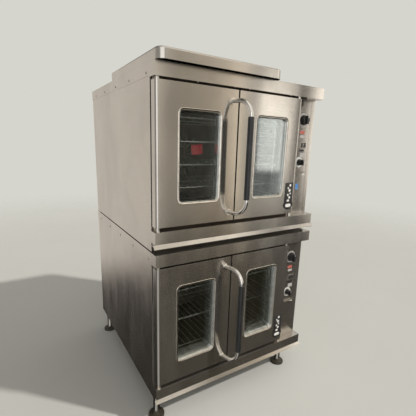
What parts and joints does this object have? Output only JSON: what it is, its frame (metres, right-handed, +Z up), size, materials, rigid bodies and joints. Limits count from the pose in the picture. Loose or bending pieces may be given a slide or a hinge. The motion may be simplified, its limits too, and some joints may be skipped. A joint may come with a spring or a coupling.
{
  "type": "double-stack convection oven",
  "caption": "Two stacked convection oven decks with paired windowed doors, one D handle per deck, side controls and levelling feet.",
  "frame": {"origin": "floor level under the middle of the whole object's box, halfway between the handles' front and the caps' rear edge", "axes": "+X across the front toward the controls, doors face -Y, +Z up"},
  "size_m": [0.985, 1.1525, 1.709],
  "materials": {
    "casing_steel": "brushed, vertical grain",
    "door_steel": "brushed, vertical grain",
    "trim_chrome": "polished",
    "window_glass": "clear, slightly smoked by grease",
    "handle_chrome": "polished",
    "grip_black": "satin",
    "knob_black": "satin",
    "panel_steel": "brushed",
    "enamel": "baked enamel",
    "wire_chrome": "worn bright wire",
    "gasket_black": "woven rope",
    "baffle_steel": "heat stained",
    "fan_aluminium": "as cast",
    "motor_paint": "semi-gloss",
    "element_steel": "heat darkened",
    "wool": "felted",
    "frame_paint": "matt",
    "leg_chrome": "polished",
    "foot_black": "matt",
    "screw_steel": "bright",
    "lamp_glass": "frosted"
  },
  "bodies": {
    "cabinet": {"deck_caps": "casing_steel", "back_panels": "casing_steel", "base_pans": "casing_steel", "front_ledges": "casing_steel", "front_frames": "casing_steel", "door_gaskets": "gasket_black", "control_panels": "panel_steel", "access_panels": "panel_steel", "casing_screws": "screw_steel", "hinge_pins": "trim_chrome", "insulation": "wool", "fan_baffles": "baffle_steel", "blower_motors": "motor_paint", "heating_elements": "element_steel", "rack_guides": "wire_chrome", "oven_lamps": "lamp_glass", "side_panels_left": "casing_steel", "side_panels_right": "casing_steel", "stacking_frame": "frame_paint", "top_cover": "casing_steel", "leg_stems": "leg_chrome", "upper_cavity_liner": "enamel", "lower_cavity_liner": "enamel"},
    "foot_front_left": {"foot_front_left": "foot_black"},
    "foot_front_right": {"foot_front_right": "foot_black"},
    "foot_rear_left": {"foot_rear_left": "foot_black"},
    "foot_rear_right": {"foot_rear_right": "foot_black"},
    "upper_left_door": {"upper_door_left_shell": "door_steel", "upper_door_left_glass": "window_glass", "upper_door_left_trim": "trim_chrome", "upper_handle_tube": "handle_chrome", "upper_handle_grip": "grip_black"},
    "upper_right_door": {"upper_door_right_shell": "door_steel", "upper_door_right_glass": "window_glass", "upper_door_right_trim": "trim_chrome"},
    "upper_thermostat_knob": {"upper_thermostat_knob": "knob_black"},
    "upper_timer_knob": {"upper_timer_knob": "knob_black"},
    "upper_power_switch": {"upper_power_switch": "knob_black"},
    "upper_light_switch": {"upper_light_switch": "knob_black"},
    "upper_blower_wheel": {"upper_blower_wheel": "fan_aluminium"},
    "upper_rack_1": {"upper_rack_1": "wire_chrome"},
    "upper_rack_2": {"upper_rack_2": "wire_chrome"},
    "upper_rack_3": {"upper_rack_3": "wire_chrome"},
    "upper_rack_4": {"upper_rack_4": "wire_chrome"},
    "lower_left_door": {"lower_door_left_shell": "door_steel", "lower_door_left_glass": "window_glass", "lower_door_left_trim": "trim_chrome", "lower_handle_tube": "handle_chrome", "lower_handle_grip": "grip_black"},
    "lower_right_door": {"lower_door_right_shell": "door_steel", "lower_door_right_glass": "window_glass", "lower_door_right_trim": "trim_chrome"},
    "lower_thermostat_knob": {"lower_thermostat_knob": "knob_black"},
    "lower_timer_knob": {"lower_timer_knob": "knob_black"},
    "lower_power_switch": {"lower_power_switch": "knob_black"},
    "lower_light_switch": {"lower_light_switch": "knob_black"},
    "lower_blower_wheel": {"lower_blower_wheel": "fan_aluminium"},
    "lower_rack_1": {"lower_rack_1": "wire_chrome"},
    "lower_rack_2": {"lower_rack_2": "wire_chrome"},
    "lower_rack_3": {"lower_rack_3": "wire_chrome"}
  },
  "joints": [
    {"name": "foot_front_left_screw", "type": "slide", "parent": "cabinet", "child": "foot_front_left", "axis": [0, 0, -1], "range_m": [0, 0.025]},
    {"name": "foot_front_right_screw", "type": "slide", "parent": "cabinet", "child": "foot_front_right", "axis": [0, 0, -1], "range_m": [0, 0.025]},
    {"name": "foot_rear_left_screw", "type": "slide", "parent": "cabinet", "child": "foot_rear_left", "axis": [0, 0, -1], "range_m": [0, 0.025]},
    {"name": "foot_rear_right_screw", "type": "slide", "parent": "cabinet", "child": "foot_rear_right", "axis": [0, 0, -1], "range_m": [0, 0.025]},
    {"name": "upper_left_door_hinge", "type": "hinge", "parent": "cabinet", "child": "upper_left_door", "pos_m": [-0.464, -0.45125, 1.301], "axis": [0, 0, 1], "range_deg": [-130, 0]},
    {"name": "upper_right_door_hinge", "type": "hinge", "parent": "cabinet", "child": "upper_right_door", "pos_m": [0.315, -0.45125, 1.301], "axis": [0, 0, 1], "range_deg": [0, 130]},
    {"name": "upper_thermostat_knob_turn", "type": "hinge", "parent": "cabinet", "child": "upper_thermostat_knob", "pos_m": [0.399, -0.42775, 1.501], "axis": [0, 1, 0], "range_deg": [0, 300]},
    {"name": "upper_timer_knob_turn", "type": "hinge", "parent": "cabinet", "child": "upper_timer_knob", "pos_m": [0.393, -0.42775, 1.276], "axis": [0, 1, 0], "range_deg": [0, 300]},
    {"name": "upper_power_switch_rock", "type": "hinge", "parent": "cabinet", "child": "upper_power_switch", "pos_m": [0.402, -0.41575, 1.369], "axis": [1, 0, 0], "range_deg": [0, 16]},
    {"name": "upper_light_switch_rock", "type": "hinge", "parent": "cabinet", "child": "upper_light_switch", "pos_m": [0.425, -0.41575, 1.369], "axis": [1, 0, 0], "range_deg": [0, 16]},
    {"name": "upper_blower_wheel_spin", "type": "hinge", "parent": "cabinet", "child": "upper_blower_wheel", "pos_m": [-0.0745, 0.15225, 1.297], "axis": [0, 1, 0], "continuous": true},
    {"name": "upper_rack_1_slide", "type": "slide", "parent": "cabinet", "child": "upper_rack_1", "axis": [0, -1, 0], "range_m": [0, 0.045]},
    {"name": "upper_rack_2_slide", "type": "slide", "parent": "cabinet", "child": "upper_rack_2", "axis": [0, -1, 0], "range_m": [0, 0.045]},
    {"name": "upper_rack_3_slide", "type": "slide", "parent": "cabinet", "child": "upper_rack_3", "axis": [0, -1, 0], "range_m": [0, 0.045]},
    {"name": "upper_rack_4_slide", "type": "slide", "parent": "cabinet", "child": "upper_rack_4", "axis": [0, -1, 0], "range_m": [0, 0.045]},
    {"name": "lower_left_door_hinge", "type": "hinge", "parent": "cabinet", "child": "lower_left_door", "pos_m": [-0.464, -0.45125, 0.519], "axis": [0, 0, 1], "range_deg": [-130, 0]},
    {"name": "lower_right_door_hinge", "type": "hinge", "parent": "cabinet", "child": "lower_right_door", "pos_m": [0.315, -0.45125, 0.519], "axis": [0, 0, 1], "range_deg": [0, 130]},
    {"name": "lower_thermostat_knob_turn", "type": "hinge", "parent": "cabinet", "child": "lower_thermostat_knob", "pos_m": [0.399, -0.42775, 0.719], "axis": [0, 1, 0], "range_deg": [0, 300]},
    {"name": "lower_timer_knob_turn", "type": "hinge", "parent": "cabinet", "child": "lower_timer_knob", "pos_m": [0.393, -0.42775, 0.494], "axis": [0, 1, 0], "range_deg": [0, 300]},
    {"name": "lower_power_switch_rock", "type": "hinge", "parent": "cabinet", "child": "lower_power_switch", "pos_m": [0.402, -0.41575, 0.587], "axis": [1, 0, 0], "range_deg": [0, 16]},
    {"name": "lower_light_switch_rock", "type": "hinge", "parent": "cabinet", "child": "lower_light_switch", "pos_m": [0.425, -0.41575, 0.587], "axis": [1, 0, 0], "range_deg": [0, 16]},
    {"name": "lower_blower_wheel_spin", "type": "hinge", "parent": "cabinet", "child": "lower_blower_wheel", "pos_m": [-0.0745, 0.15225, 0.515], "axis": [0, 1, 0], "continuous": true},
    {"name": "lower_rack_1_slide", "type": "slide", "parent": "cabinet", "child": "lower_rack_1", "axis": [0, -1, 0], "range_m": [0, 0.045]},
    {"name": "lower_rack_2_slide", "type": "slide", "parent": "cabinet", "child": "lower_rack_2", "axis": [0, -1, 0], "range_m": [0, 0.045]},
    {"name": "lower_rack_3_slide", "type": "slide", "parent": "cabinet", "child": "lower_rack_3", "axis": [0, -1, 0], "range_m": [0, 0.045]}
  ],
  "couplings": [
    {"joint": "upper_right_door_hinge", "follows": "upper_left_door_hinge", "ratio": -1},
    {"joint": "lower_right_door_hinge", "follows": "lower_left_door_hinge", "ratio": -1}
  ]
}
